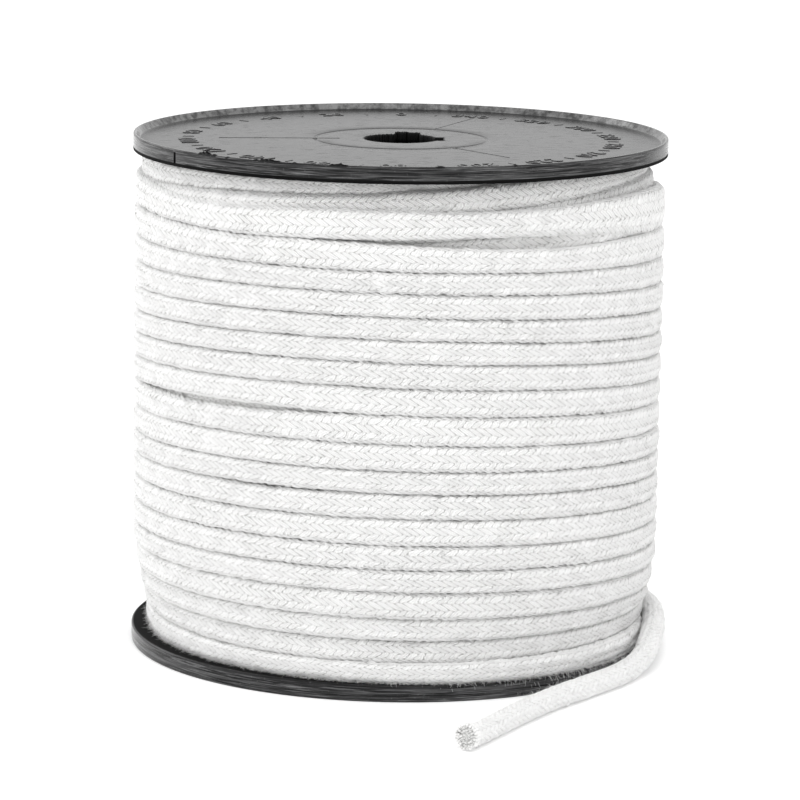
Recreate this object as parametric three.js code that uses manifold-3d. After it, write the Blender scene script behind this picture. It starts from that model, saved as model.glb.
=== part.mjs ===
// A reel of braided cotton cord. The reel stands on its lower flange, and the cord's free end comes round
// the foot of the winding, slips off the flange and lies on the table in front of it.
// Millimetres, +Z up, -Y to the front. The origin is the middle of the reel's foot, on its axis.
import * as THREE from "three";
import { mergeVertices } from "three/addons/utils/BufferGeometryUtils.js";
import Module from "manifold-3d";

const wasm = await Module();
wasm.setup();

// Driving sizes
const CORD_DIAMETER = 6.1;
const REEL_HEIGHT = 130.8;
const FLANGE_RADIUS = 67.5;
const FLANGE_THICK = 4.2;
const FACE_SINK = 2.0;
const LIP_WIDTH = 0.9;
const LIP_SLOPE = 1.7;
const EDGE_ROUND = 0.35;
const SPINDLE_HOLE_RADIUS = 9.2;
const HUB_RING_RADIUS = 21.7;
const HUB_GROOVE = 0.3;
const BARREL_RADIUS = 21.2;
const BARREL_WALL = 2.0;
const GAP = 0.3;

// How finely round things are drawn
const FLANGE_SIDES = 80;
const BARREL_SIDES = 48;
const WINDING_SIDES = 48;
const CORD_SIDES = 10;
const CORD_STEPS = 44;

// The cut-outs in the rim of the spindle hole: which way each one faces, in degrees round the axis from
// +X, how far its middle lies to the left of that line, its width, and how far it reaches from the axis
const KEYWAYS = [
  { angle: 90, aside: -0.15, width: 3.4, reach: 14.0 },
  { angle: 90, aside: -3.2, width: 3.2, reach: 12.6 },
  { angle: 0, aside: 0.0, width: 7.0, reach: 10.7 },
];

// The grooves between the turns, from the top down: the groove's height at the front, how far it rises
// there above its sides and back, and the outer radius of the turn under it. The first two turns belong to
// the layer below, which shows under the upper flange.
const GROOVES = [
  { front: 135.4, lift: 0.0, crest: 63.7 },
  { front: 129.4, lift: 0.0, crest: 63.7 },
  { front: 123.2, lift: 0.2, crest: 63.7 },
  { front: 119.2, lift: 0.5, crest: 67.0 },
  { front: 111.8, lift: 1.1, crest: 67.1 },
  { front: 104.8, lift: 1.9, crest: 67.1 },
  { front: 99.6, lift: 3.6, crest: 67.1 },
  { front: 93.9, lift: 4.6, crest: 67.1 },
  { front: 88.4, lift: 5.3, crest: 67.1 },
  { front: 82.9, lift: 5.4, crest: 67.1 },
  { front: 76.8, lift: 5.3, crest: 67.1 },
  { front: 70.2, lift: 4.6, crest: 67.1 },
  { front: 63.0, lift: 4.1, crest: 67.1 },
  { front: 56.6, lift: 3.9, crest: 67.1 },
  { front: 51.1, lift: 3.9, crest: 67.1 },
  { front: 44.9, lift: 3.6, crest: 67.1 },
  { front: 38.4, lift: 3.3, crest: 67.1 },
  { front: 32.4, lift: 3.2, crest: 67.0 },
  { front: 26.9, lift: 2.9, crest: 66.3 },
  { front: 20.2, lift: 1.8, crest: 65.2 },
  { front: 14.5, lift: 0.6, crest: 64.2 },
  { front: 8.4, lift: -1.6, crest: 63.6 },
  { front: 2.4, lift: -1.6, crest: 63.4 },
  { front: -3.8, lift: -1.6, crest: 63.4 },
];

// One turn's section: how far across the turn, and how far inside its crest
const TURN_SECTION = [
  { across: 0.0, inside: 2.1 },
  { across: 0.2, inside: 0.5 },
  { across: 0.5, inside: 0.0 },
  { across: 0.8, inside: 0.5 },
];
const WINDING_EDGE_RADIUS = 61.8;
const CREST_SHIFT_START = 0.36;
const CREST_SHIFT_END = 0.64;
const LIFT_PEAK = THREE.MathUtils.degToRad(-8);
const LIFT_BLUNTNESS = 0.2;

// The free end's centre line, from where it leaves the winding at the back to its cut end in front
const FREE_END = [
  [31.5, 59.2, 7.6],
  [43.1, 51.3, 7.6],
  [52.8, 41.2, 7.6],
  [60.2, 29.4, 7.6],
  [65.0, 16.2, 7.6],
  [66.9, 3.5, 7.6],
  [66.6, -9.4, 7.6],
  [65.7, -19.5, 7.5],
  [64.4, -28.0, 6.7],
  [62.6, -34.6, 4.9],
  [59.6, -41.0, 3.6],
  [55.3, -48.4, 3.15],
  [50.8, -54.9, 3.12],
  [45.6, -62.0, 3.12],
  [40.5, -69.0, 3.12],
  [35.4, -76.8, 3.12],
  [30.4, -85.2, 3.12],
  [25.5, -94.3, 3.12],
  [20.9, -102.9, 3.12],
  [17.3, -109.7, 3.12],
];

const PLASTIC = { color: 0x4d4d4e, roughness: 0.42, metalness: 0.0 };
const COTTON = { color: 0xf1f0ec, roughness: 0.95, metalness: 0.0 };

// Only the corners of a shape, merged, without the faces that have shrunk to nothing
function bareGeometry(geometry) {
  geometry.deleteAttribute("normal");
  geometry.deleteAttribute("uv");
  const merged = mergeVertices(geometry, 1e-3);
  const kept = [];
  const index = merged.index.array;
  for (let i = 0; i < index.length; i += 3) {
    const [a, b, c] = [index[i], index[i + 1], index[i + 2]];
    if (a !== b && b !== c && c !== a) kept.push(a, b, c);
  }
  merged.setIndex(kept);
  return merged;
}

function toSolid(geometry) {
  const bare = bareGeometry(geometry);
  const vertProperties = new Float32Array(bare.attributes.position.array);
  const triVerts = new Uint32Array(bare.index.array);
  return new wasm.Manifold(new wasm.Mesh({ numProp: 3, vertProperties, triVerts }));
}

function toGeometry(solid) {
  const mesh = solid.getMesh();
  const geometry = new THREE.BufferGeometry();
  geometry.setAttribute("position", new THREE.BufferAttribute(mesh.vertProperties, 3));
  geometry.setIndex(new THREE.BufferAttribute(mesh.triVerts, 1));
  return geometry;
}

// A ring turned round Z from the closed outline of its section, given as [radius, height] corners that
// run up the outer side and down the inner one
function turned(outline, sides) {
  const corners = [...outline, outline[0]].map(([radius, height]) => new THREE.Vector2(radius, height));
  return new THREE.LatheGeometry(corners, sides).rotateX(Math.PI / 2);
}

function namedMesh(name, geometry, look) {
  const flat = geometry.index ? geometry.toNonIndexed() : geometry;
  flat.computeVertexNormals();
  const mesh = new THREE.Mesh(flat, new THREE.MeshStandardMaterial(look));
  mesh.name = name;
  return mesh;
}

// A block that cuts one keyway into the rim of the spindle hole, from inside the hole outwards
function keywayBlock({ angle, aside, width, reach }) {
  const start = SPINDLE_HOLE_RADIUS / 2;
  const block = new THREE.BoxGeometry(reach - start, width, 3 * FLANGE_THICK);
  block.translate((reach + start) / 2, aside, FLANGE_THICK / 2);
  block.rotateZ(THREE.MathUtils.degToRad(angle));
  return toSolid(block);
}

// One moulded flange: flat on the winding's side, sunk inside a raised lip on the outer side
function flangeGeometry() {
  const face = FLANGE_THICK - FACE_SINK;
  const lipOuter = FLANGE_RADIUS - EDGE_ROUND;
  const lipInner = lipOuter - LIP_WIDTH;
  const bevel = SPINDLE_HOLE_RADIUS + EDGE_ROUND;
  const outline = [
    [SPINDLE_HOLE_RADIUS, 0],
    [lipOuter, 0],
    [FLANGE_RADIUS, EDGE_ROUND],
    [FLANGE_RADIUS, FLANGE_THICK - EDGE_ROUND],
    [lipOuter, FLANGE_THICK],
    [lipInner, FLANGE_THICK],
    [lipInner - LIP_SLOPE, face],
    [HUB_RING_RADIUS + HUB_GROOVE, face],
    [HUB_RING_RADIUS, face - HUB_GROOVE],
    [HUB_RING_RADIUS - HUB_GROOVE, face],
    [bevel, face],
    [SPINDLE_HOLE_RADIUS, face - EDGE_ROUND],
  ];
  let flange = toSolid(turned(outline, FLANGE_SIDES));
  for (const keyway of KEYWAYS) flange = flange.subtract(keywayBlock(keyway));
  return toGeometry(flange);
}

function makeFlanges() {
  const shape = flangeGeometry();
  const upper = namedMesh("flange_top", shape, PLASTIC);
  upper.position.z = REEL_HEIGHT - FLANGE_THICK;
  const lower = namedMesh("flange_bottom", shape, PLASTIC);
  lower.rotation.x = Math.PI;
  lower.position.z = FLANGE_THICK;
  return [upper, lower];
}

// The tube that joins the flanges and carries the winding
function makeBarrel() {
  const low = FLANGE_THICK + GAP;
  const high = REEL_HEIGHT - FLANGE_THICK - GAP;
  const inner = BARREL_RADIUS - BARREL_WALL;
  const outline = [
    [inner, low],
    [BARREL_RADIUS, low],
    [BARREL_RADIUS, high],
    [inner, high],
  ];
  return namedMesh("barrel", turned(outline, BARREL_SIDES), PLASTIC);
}

// One column of the groove table at a fractional groove number, on a smooth curve through its rows
function grooveValue(column, number) {
  const last = GROOVES.length - 1;
  const at = THREE.MathUtils.clamp(number, 0, last - 1e-6);
  const row = Math.floor(at);
  const share = at - row;
  const value = (k) => GROOVES[THREE.MathUtils.clamp(k, 0, last)][column];
  const slopeHere = (value(row + 1) - value(row - 1)) / 2;
  const slopeNext = (value(row + 2) - value(row)) / 2;
  const step = value(row + 1) - value(row);
  const bend = share * (share - 1);
  const sway = (slopeHere - step) * (1 - share) - (slopeNext - step) * share;
  return value(row) + step * share - bend * sway;
}

// 1 where the turns rise highest, near the front, and close to 0 from the sides round the back
function liftShare(angle) {
  const facing = Math.cos(angle - LIFT_PEAK);
  return (facing + Math.hypot(facing, LIFT_BLUNTNESS)) / 2;
}

// A groove's height: the grooves are one long spiral that sinks one turn on each way round
function grooveHeight(number, angle) {
  const lift = grooveValue("lift", number);
  return grooveValue("front", number) + lift * (liftShare(angle) - liftShare(0));
}

// The outer radius along the spiral: a turn keeps its own all the way round, and passes to the next
// turn's over a short stretch at the back
function crestRadius(number) {
  const turn = Math.round(number);
  const past = number - turn;
  const crest = (k) => GROOVES[THREE.MathUtils.clamp(k, 0, GROOVES.length - 1)].crest;
  const share = THREE.MathUtils.smoothstep(Math.abs(past), CREST_SHIFT_START, CREST_SHIFT_END);
  return THREE.MathUtils.lerp(crest(turn), crest(turn + Math.sign(past)), share);
}

// The rows of corners down the outside of the winding, each at its groove number and depth in its turn
function windingRows() {
  const rows = [];
  for (let turn = -1; turn < GROOVES.length; turn += 1) {
    for (const { across, inside } of TURN_SECTION) rows.push({ groove: turn, across, inside });
  }
  return rows.reverse();
}

// The whole winding as one solid: a thick ring whose outside is ridged by the turns of the spiral
function makeWinding() {
  const low = FLANGE_THICK + GAP;
  const high = REEL_HEIGHT - FLANGE_THICK - GAP;
  const bore = BARREL_RADIUS + GAP;
  const rows = windingRows();
  const blank = [[bore, low], ...rows.map((_, k) => [FLANGE_RADIUS, k]), [bore, high]];
  const corners = [...blank, blank[0]].map(([radius, height]) => new THREE.Vector2(radius, height));
  const ring = new THREE.LatheGeometry(corners, WINDING_SIDES, -Math.PI);
  for (let side = 0; side <= WINDING_SIDES; side += 1) {
    const share = side / WINDING_SIDES - 0.5;
    const angle = (side % WINDING_SIDES) * (2 * Math.PI / WINDING_SIDES) - Math.PI;
    rows.forEach(({ groove, across, inside }, k) => {
      const start = groove + share;
      const height = grooveHeight(start + across, angle);
      const isInside = height > low && height < high;
      const radius = isInside ? crestRadius(start) - inside : WINDING_EDGE_RADIUS;
      const held = THREE.MathUtils.clamp(height, low, high);
      const corner = side * corners.length + 1 + k;
      ring.attributes.position.setXYZ(corner, radius * Math.sin(angle), held, radius * Math.cos(angle));
    });
  }
  return namedMesh("winding", bareGeometry(ring.rotateX(Math.PI / 2)), COTTON);
}

// The free end of the cord, as a plain tube along its route
function makeLooseEnd() {
  const route = new THREE.CatmullRomCurve3(FREE_END.map((point) => new THREE.Vector3(...point)), false, "centripetal");
  const section = new THREE.Shape();
  for (let side = 0; side < CORD_SIDES; side += 1) {
    const angle = (2 * Math.PI * side) / CORD_SIDES;
    const x = (CORD_DIAMETER / 2) * Math.cos(angle);
    const y = (CORD_DIAMETER / 2) * Math.sin(angle);
    if (side === 0) section.moveTo(x, y);
    else section.lineTo(x, y);
  }
  section.closePath();
  const options = { steps: CORD_STEPS, extrudePath: route, bevelEnabled: false, curveSegments: 1 };
  return namedMesh("loose_end", new THREE.ExtrudeGeometry(section, options), COTTON);
}

const reel = new THREE.Group();
reel.add(...makeFlanges(), makeBarrel(), makeWinding(), makeLooseEnd());

export default reel;
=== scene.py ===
# %% [markdown]
# # A reel of braided cotton cord
# A moulded plastic reel, wound full with white braided cord, stands on its lower flange. The cord's free
# end comes round the foot of the winding, slips over the rim and lies on the table. Each step below makes
# one piece or one finish. All lengths are in metres, +Z is up, and the reel's axis is the Z axis.

# %% Load the frame
import math

import bpy
import numpy as np
from mathutils import Euler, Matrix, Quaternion, Vector


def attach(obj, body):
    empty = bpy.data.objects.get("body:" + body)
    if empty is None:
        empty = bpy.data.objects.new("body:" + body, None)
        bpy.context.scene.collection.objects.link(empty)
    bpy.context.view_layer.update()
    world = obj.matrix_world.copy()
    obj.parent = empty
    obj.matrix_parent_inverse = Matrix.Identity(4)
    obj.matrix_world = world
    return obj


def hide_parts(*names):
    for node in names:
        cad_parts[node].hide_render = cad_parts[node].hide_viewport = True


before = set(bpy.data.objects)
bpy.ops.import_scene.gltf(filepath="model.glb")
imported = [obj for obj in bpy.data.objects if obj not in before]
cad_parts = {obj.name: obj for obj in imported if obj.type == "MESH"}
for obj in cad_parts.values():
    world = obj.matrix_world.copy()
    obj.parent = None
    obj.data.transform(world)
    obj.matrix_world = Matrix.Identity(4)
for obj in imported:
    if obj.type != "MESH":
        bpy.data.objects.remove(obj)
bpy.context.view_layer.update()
MM = 0.001
BODY = "root"
print("pieces of the frame:", sorted(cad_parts))

# %% [markdown]
# ## The camera
# A product photograph is taken from far away with a long lens, a little above the object, so that the reel's
# top shows as a thin ellipse. The lens, height and pitch below give the same ellipses. The small roll is the
# slight lean of the photograph.

# %% Camera
def put_in_scene(name, data):
    thing = bpy.data.objects.new(name, data)
    bpy.context.scene.collection.objects.link(thing)
    return thing


CAMERA_PLACE = (0.0, -0.9769, 0.2416)
CAMERA_PITCH = math.radians(10.42)
CAMERA_ROLL = math.radians(0.93)
CAMERA_LENS = 174.7

camera_data = bpy.data.cameras.new("camera")
camera_data.lens = CAMERA_LENS
camera_data.sensor_width = 36.0
camera_data.shift_x = 0.0041
camera_data.clip_start = 0.05
camera_data.clip_end = 60.0
camera = put_in_scene("camera", camera_data)
camera.location = CAMERA_PLACE
level = Euler((math.pi / 2 - CAMERA_PITCH, 0.0, 0.0)).to_quaternion()
camera.rotation_mode = "QUATERNION"
camera.rotation_quaternion = level @ Quaternion((0.0, 0.0, 1.0), CAMERA_ROLL)
bpy.context.scene.camera = camera
print("camera looks down", round(math.degrees(CAMERA_PITCH), 2), "degrees")

# %% [markdown]
# ## Meshes from grids of points
# Cord, flanges and floor are all swept surfaces: rows of points that follow each other. One helper turns
# such a grid into faces, whole arrays at once. A second, flat set of coordinates goes with each point: how
# far along the piece and how far round it. The finishes read them, so that threads follow the cord.

# %% Grid helper
def add_mesh(name, points, faces, flat=None):
    mesh = bpy.data.meshes.new(name)
    points = np.asarray(points, np.float32).ravel()
    mesh.vertices.add(len(points) // 3)
    mesh.vertices.foreach_set("co", points)
    mesh.loops.add(faces.size)
    mesh.loops.foreach_set("vertex_index", faces.astype(np.int32).ravel())
    mesh.polygons.add(len(faces))
    mesh.polygons.foreach_set("loop_start", np.arange(0, faces.size, faces.shape[1], dtype=np.int32))
    mesh.update(calc_edges=True)
    if flat is not None:
        layer = mesh.uv_layers.new(name="flat")
        layer.data.foreach_set("uv", np.asarray(flat, np.float32).reshape(-1, 2)[faces.ravel()].ravel())
    mesh.polygons.foreach_set("use_smooth", np.full(len(faces), True))
    return put_in_scene(name, mesh)


def grid_quads(rows, columns, close_rows=False, close_columns=False):
    last_row = rows if close_rows else rows - 1
    last_column = columns if close_columns else columns - 1
    r, c = np.meshgrid(np.arange(last_row), np.arange(last_column), indexing="ij")
    r2, c2 = (r + 1) % rows, (c + 1) % columns
    corners = [r * columns + c, r * columns + c2, r2 * columns + c2, r2 * columns + c]
    return np.stack(corners, -1).reshape(-1, 4)


# %% [markdown]
# ## The braid's form
# The cord is a braid of 24 strands, 12 going each way round, and each passes over two of the others and then
# under two. So the strands of one way lie on top along one rib of the cord, and those of the other way along
# the next rib, which gives rows of slanting grains. In stitch units, `along + around` is constant along a
# strand of one way and `along - around` along a strand of the other. The height is that of the higher
# strand: each is round across its width, rises over the rib where it is on top and dips under the next one.
# No two crossings stand equally high, so each gets a small chance amount of its own.

# %% Braid height
CORD_DIAMETER = 6.1 * MM
STITCH = 2.19 * MM
RIBS = 12
STRAND_WAVE = 0.38
STRAND_ROUND = 0.62
UNEVEN = 0.24
CROSSING_HEIGHTS = np.random.default_rng(6).normal(0.0, 1.0, 4096)


def braid_height(along, around):
    over = STRAND_WAVE * np.cos(np.pi * (around - 0.25))
    one, two = along + around, along - around
    crown_one = np.sqrt(np.clip(1.0 - 4.0 * (one - np.round(one)) ** 2, 0.0, 1.0))
    crown_two = np.sqrt(np.clip(1.0 - 4.0 * (two - np.round(two)) ** 2, 0.0, 1.0))
    crossing = (31 * np.round(one) + 17 * np.round(two)).astype(int) % len(CROSSING_HEIGHTS)
    return np.maximum(STRAND_ROUND * crown_one + over, STRAND_ROUND * crown_two - over) \
        + UNEVEN * CROSSING_HEIGHTS[crossing]


print("braid height between strands", round(float(braid_height(0.5, 0.0)), 2),
      "and on top", round(float(braid_height(-0.25, 0.25)), 2))

# %% [markdown]
# ## The free end
# The route is a short list of points, the same as the plain tube's. A smooth curve through them is cut
# into even steps. The cord is limp, so it follows the rim, slips off it in a slack bend and then lies flat.
# Before the first point the same cord is still part of the winding, and its line dives under the last turn.

# %% Free end's route
STEPS_PER_STITCH = 8
LAST_OF_WINDING = [(-10.1, 57.1, 7.8), (2.2, 62.0, 7.7), (16.9, 63.0, 7.6)]
FREE_END = [
    (31.5, 59.2, 7.6), (43.1, 51.3, 7.6), (52.8, 41.2, 7.6), (60.2, 29.4, 7.6), (65.0, 16.2, 7.6),
    (66.9, 3.5, 7.6), (66.6, -9.4, 7.6), (65.7, -19.5, 7.5), (64.4, -28.0, 6.7), (62.6, -34.6, 4.9),
    (59.6, -41.0, 3.6), (55.3, -48.4, 3.15), (50.8, -54.9, 3.12), (45.6, -62.0, 3.12), (40.5, -69.0, 3.12),
    (35.4, -76.8, 3.12), (30.4, -85.2, 3.12), (25.5, -94.3, 3.12), (20.9, -102.9, 3.12), (17.3, -109.7, 3.12),
]


def curve_between(s, first, slope_first, last, slope_last):
    return ((2 * s**3 - 3 * s**2 + 1) * first + (s**3 - 2 * s**2 + s) * slope_first
            + (3 * s**2 - 2 * s**3) * last + (s**3 - s**2) * slope_last)


def smooth_route(points, step):
    points = np.asarray(points, float)
    ends = np.vstack([2 * points[0] - points[1], points, 2 * points[-1] - points[-2]])
    fine = []
    for p0, p1, p2, p3 in zip(ends, ends[1:], ends[2:], ends[3:]):
        gaps = [max(np.linalg.norm(b - a), 1e-9) ** 0.5 for a, b in ((p0, p1), (p1, p2), (p2, p3))]
        slope1 = (p1 - p0) / gaps[0] - (p2 - p0) / (gaps[0] + gaps[1]) + (p2 - p1) / gaps[1]
        slope2 = (p2 - p1) / gaps[1] - (p3 - p1) / (gaps[1] + gaps[2]) + (p3 - p2) / gaps[2]
        s = np.linspace(0, 1, 40, endpoint=False)[:, None]
        fine.append(curve_between(s, p1, slope1 * gaps[1], p2, slope2 * gaps[1]))
    fine = np.vstack([*fine, points[-1:]])
    lengths = np.concatenate([[0], np.cumsum(np.linalg.norm(np.diff(fine, axis=0), axis=1))])
    count = int(round(lengths[-1] / step)) + 1
    even = np.linspace(0, lengths[-1], count)
    return np.stack([np.interp(even, lengths, fine[:, k]) for k in range(3)], 1)


whole_route = smooth_route(np.array(LAST_OF_WINDING + FREE_END) * MM, STITCH / STEPS_PER_STITCH)
exit_row = int(np.argmin(np.linalg.norm(whole_route - np.array(FREE_END[0]) * MM, axis=1)))

# %% [markdown]
# A ring of points stands across the route at each step. Its own sideways and upward directions come from
# the route's direction and the vertical, which works because the cord never stands upright. The stitches'
# height lifts each point. The free cord is a little slimmer than the wound one and lies flattened on the
# table, and its last few millimetres open out where the knife has loosened the braid.

# %% Braided tube
AROUND = 4 * RIBS
RELIEF = 0.38 * MM
MEAN_HEIGHT = 0.72
SLIMMER, FLATTER, SLACK_STEPS = 0.07, 0.12, 120
FLARE_LENGTH, FLARE_WIDE, FLARE_TALL = 7.0 * MM, 0.04, 0.20
LOWEST = 0.06 * MM


def unit(vectors):
    return vectors / np.linalg.norm(vectors, axis=-1, keepdims=True)


heading = unit(np.gradient(whole_route, axis=0))
sideways = unit(np.cross(heading, (0.0, 0.0, 1.0)))
upwards = np.cross(sideways, heading)
from_cut = (len(whole_route) - 1 - np.arange(len(whole_route))) * STITCH / STEPS_PER_STITCH
flare = np.clip(1 - from_cut / FLARE_LENGTH, 0, 1) ** 2


def tube_rings(rows):
    along, around = np.meshgrid(rows / STEPS_PER_STITCH, np.arange(AROUND + 1) / 4.0, indexing="ij")
    angle = around / RIBS * 2 * np.pi
    radius = CORD_DIAMETER / 2 + (braid_height(along, around) - MEAN_HEIGHT) * RELIEF
    slack = np.clip((rows - exit_row) / SLACK_STEPS, 0, 1)[:, None]
    wide = radius * (1 - SLIMMER * slack + FLARE_WIDE * flare[rows][:, None])
    tall = radius * (1 - FLATTER * slack + FLARE_TALL * flare[rows][:, None])
    rings = (whole_route[rows][:, None] + sideways[rows][:, None] * (wide * np.cos(angle))[..., None]
             + upwards[rows][:, None] * (tall * np.sin(angle))[..., None])
    rings[..., 2] = np.maximum(rings[..., 2] + tall - radius, LOWEST)
    return rings, np.stack([along, around], -1)


def shrink(ring, share, shift=(0.0, 0.0, 0.0)):
    middle = ring[:-1].mean(axis=0)
    return (middle + (ring - middle) * share + np.asarray(shift))[None]


# %% Free end's surface
rings, flat = tube_rings(np.arange(exit_row, len(whole_route)))
cut_centre = rings[-1, :-1].mean(axis=0)
back = -heading[-1] * 0.7 * MM
hollow = [shrink(rings[-1], 0.90), shrink(rings[-1], 0.84, back), shrink(rings[-1], 0.02, back)]
rings = np.concatenate([rings, *hollow])
flat = np.concatenate([flat, *[flat[-1:]] * 3])
free_end = add_mesh("loose_end_braid", rings, grid_quads(*rings.shape[:2])[:, ::-1], flat)

rings, flat = tube_rings(np.arange(0, exit_row + 1))
rings, flat = np.concatenate([shrink(rings[0], 0.02), rings]), np.concatenate([flat[:1], flat])
last_turn = add_mesh("winding_last_turn", rings, grid_quads(*rings.shape[:2])[:, ::-1], flat)
print("free end has", 2 * len(free_end.data.polygons), "triangles")

# %% [markdown]
# The cut end shows what the cord is made of: the ends of the 24 cover strands in a ring, a little spread,
# and inside them a bundle of straight core yarns. Each is a thin tube with a soft tip. Loose fibres are the
# same kind of tube, only far thinner, so one helper makes them all.

# %% Thin tubes
chance = np.random.default_rng(24)


def thin_tubes(name, paths, radii, sides):
    count, steps = paths.shape[:2]
    ahead = unit(np.gradient(paths, axis=1))
    upright = np.where(np.abs(ahead[..., 2:]) < 0.9, (0.0, 0.0, 1.0), (1.0, 0.0, 0.0))
    side = unit(np.cross(ahead, upright))
    turn = np.arange(sides) / sides * 2 * np.pi
    spread = (side[:, :, None] * np.cos(turn)[:, None]
              + np.cross(side, ahead)[:, :, None] * np.sin(turn)[:, None])
    points = paths[:, :, None] + spread * radii[:, :, None, None]
    quads = grid_quads(steps, sides, close_columns=True)[:, ::-1]
    faces = (quads[None] + (np.arange(count) * steps * sides)[:, None, None]).reshape(-1, 4)
    return add_mesh(name, points, faces)


# %% Cut end
CORE_GAP, COVER_RING = 0.68, 2.62
CORE_YARN, COVER_YARN = 0.37, 0.36
YARN_START, YARN_LOWEST = -1.6, 0.5 * MM


def ring_of_yarns(count, radius, turned):
    a = (np.arange(count) + turned) * 2 * math.pi / count
    return np.stack([radius * np.cos(a), radius * np.sin(a)], 1)


def cut_end_yarns():
    rings = [ring_of_yarns(6 * ring, CORE_GAP * ring, 0.5 * ring) for ring in (1, 2, 3)]
    places = np.concatenate([[(0.0, 0.0)], *rings, ring_of_yarns(2 * RIBS, COVER_RING, 0.5)])
    is_cover = np.arange(len(places)) >= len(places) - 2 * RIBS
    places += chance.normal(0, 0.07, places.shape)
    reach = np.where(is_cover, chance.uniform(0.2, 0.9, len(places)), chance.uniform(-0.2, 0.5, len(places)))
    lean = np.where(is_cover, 0.22, 0.05)[:, None] * unit(places + 1e-3)
    lean = lean + chance.normal(0, 0.10, places.shape)
    share = np.array([0.0, 0.35, 0.6, 0.8, 0.93, 1.0])
    run = YARN_START + (reach - YARN_START)[:, None] * share
    spread = places[:, None] * (1, 1.10) + lean[:, None] * (np.clip(run, 0, None) ** 1.5)[..., None]
    paths = (cut_centre + (heading[-1] * run[..., None] + sideways[-1] * spread[..., :1]
                           + upwards[-1] * spread[..., 1:]) * MM)
    thick = np.where(is_cover, COVER_YARN, CORE_YARN)[:, None] * np.array([1, 1, 1, 0.95, 0.7, 0.08]) * MM
    paths[..., 2] = np.maximum(paths[..., 2], YARN_LOWEST)
    return thin_tubes("loose_end_yarns", paths, thick, 7)


cut_end = cut_end_yarns()
print("cut end has", len(cut_end.data.polygons), "faces")

for piece, node in ((free_end, "loose_end"), (cut_end, "loose_end"), (last_turn, "winding")):
    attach(piece, BODY)
    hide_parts(node)

# %% [markdown]
# ## Where the turns lie
# The outer layer is one long spiral. The table holds, for each groove between two turns, its height at the
# front, how much higher it is there than at the sides and the back, and the reach of the turn below it.
# The numbers start with the top edge of the first turn of the outer layer.

# %% Groove table
GROOVES = np.array([
    (119.2, 0.5, 67.0), (111.8, 1.1, 67.1), (104.8, 1.9, 67.1), (99.6, 3.6, 67.1), (93.9, 4.6, 67.1),
    (88.4, 5.3, 67.1), (82.9, 5.4, 67.1), (76.8, 5.3, 67.1), (70.2, 4.6, 67.1), (63.0, 4.1, 67.1),
    (56.6, 3.9, 67.1), (51.1, 3.9, 67.1), (44.9, 3.6, 67.1), (38.4, 3.3, 67.1), (32.4, 3.2, 67.0),
    (26.9, 2.9, 66.3), (20.2, 1.8, 65.2), (14.5, 0.6, 64.2), (8.4, -1.6, 63.6), (2.4, -1.6, 63.4),
    (-3.8, -1.6, 63.4),
])
LIFT_PEAK = math.radians(-8)
LOW, HIGH = 4.3, 126.3


def table_value(column, number):
    values = GROOVES[:, column]
    step_first, step_last = values[1] - values[0], values[-1] - values[-2]
    padded = np.concatenate([[values[0] - 2 * step_first, values[0] - step_first], values,
                             [values[-1] + step_last, values[-1] + 2 * step_last]])
    at = np.clip(np.asarray(number, float) + 2, 1, len(padded) - 2 - 1e-6)
    row = np.floor(at).astype(int)
    s = at - row
    before, here, after, later = (padded[np.clip(row + k, 0, len(padded) - 1)] for k in (-1, 0, 1, 2))
    return curve_between(s, here, (after - before) / 2, after, (later - here) / 2)


def groove_height(number, turn_angle):
    def lift_share(angle):
        facing = np.cos(angle - LIFT_PEAK)
        return (facing + np.sqrt(facing**2 + 0.04)) / 2

    return table_value(0, number) + table_value(1, number) * (lift_share(turn_angle) - lift_share(0.0))


print("groove 10 is", round(float(groove_height(10, 0.0)), 1), "mm up at the front")

# %% [markdown]
# Hand winding is never even. In a few places a turn strays and leaves a slit above or below it, through
# which the layer underneath shows. Each entry gives the groove, the angle from the front, how wide the
# place is, and how far the turn above it and the turn below it move. The first turn comes up from the layer
# underneath at the back. The last turn is slack and bulges out over the flange at the front and the right.

# %% Places where turns stray
STRAYS = [
    (0, -45, 34, 0.0, -1.3), (0, 72, 60, 0.0, 2.6), (1, 31, 42, 1.9, -1.5), (1, -40, 30, -0.6, -0.6),
    (1, -2, 30, 0.40, -0.35), (18, 22, 85, 0.0, 0.6), (19, 10, 80, -0.25, 0.0),
    (8, -42, 42, 0.5, -0.9), (11, -25, 25, 0.1, -0.4),
]
SLACK_TURN = 18
SLACK_ANGLES = [-75, -30, 0, 30, 50, 62, 72, 88]
SLACK_REACHES = [0.0, 1.4, 3.0, 4.2, 4.4, 3.5, 1.8, 0.0]
UNDER_REACH = 63.9
STEP_FROM, STEP_LENGTH = 0.36, 0.28
START_END, START_LENGTH, START_DEPTH = -0.37, 0.13, 6.4


def stray(number, side):
    total = np.zeros_like(number)
    for groove, degrees, width, above, below in STRAYS:
        offset = ((number - groove) * 360 - degrees) / width
        window = np.where(np.abs(offset) < 1, np.cos(offset * np.pi / 2) ** 2, 0.0)
        total += window * (above if side == "above" else below)
    return total


def smooth_step(share):
    share = np.clip(share, 0, 1)
    return share * share * (3 - 2 * share)


def crest_radius(number):
    """How far out each turn reaches, in millimetres; it steps over to the next turn's reach at the back."""
    turn = np.round(number)
    past = number - turn
    share = smooth_step((np.abs(past) - STEP_FROM) / STEP_LENGTH)
    crest = GROOVES[:, 2]

    def at(k):
        return np.where(k < 0, UNDER_REACH, crest[np.clip(k, 0, len(crest) - 1).astype(int)])

    bulge = np.interp((number - SLACK_TURN) * 360, SLACK_ANGLES, SLACK_REACHES)
    slack = np.where(turn == SLACK_TURN, bulge, 0.0)
    start = START_DEPTH * smooth_step((START_END - number) / START_LENGTH)
    return at(turn) * (1 - share) + at(turn + np.sign(past)) * share + slack - start


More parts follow.
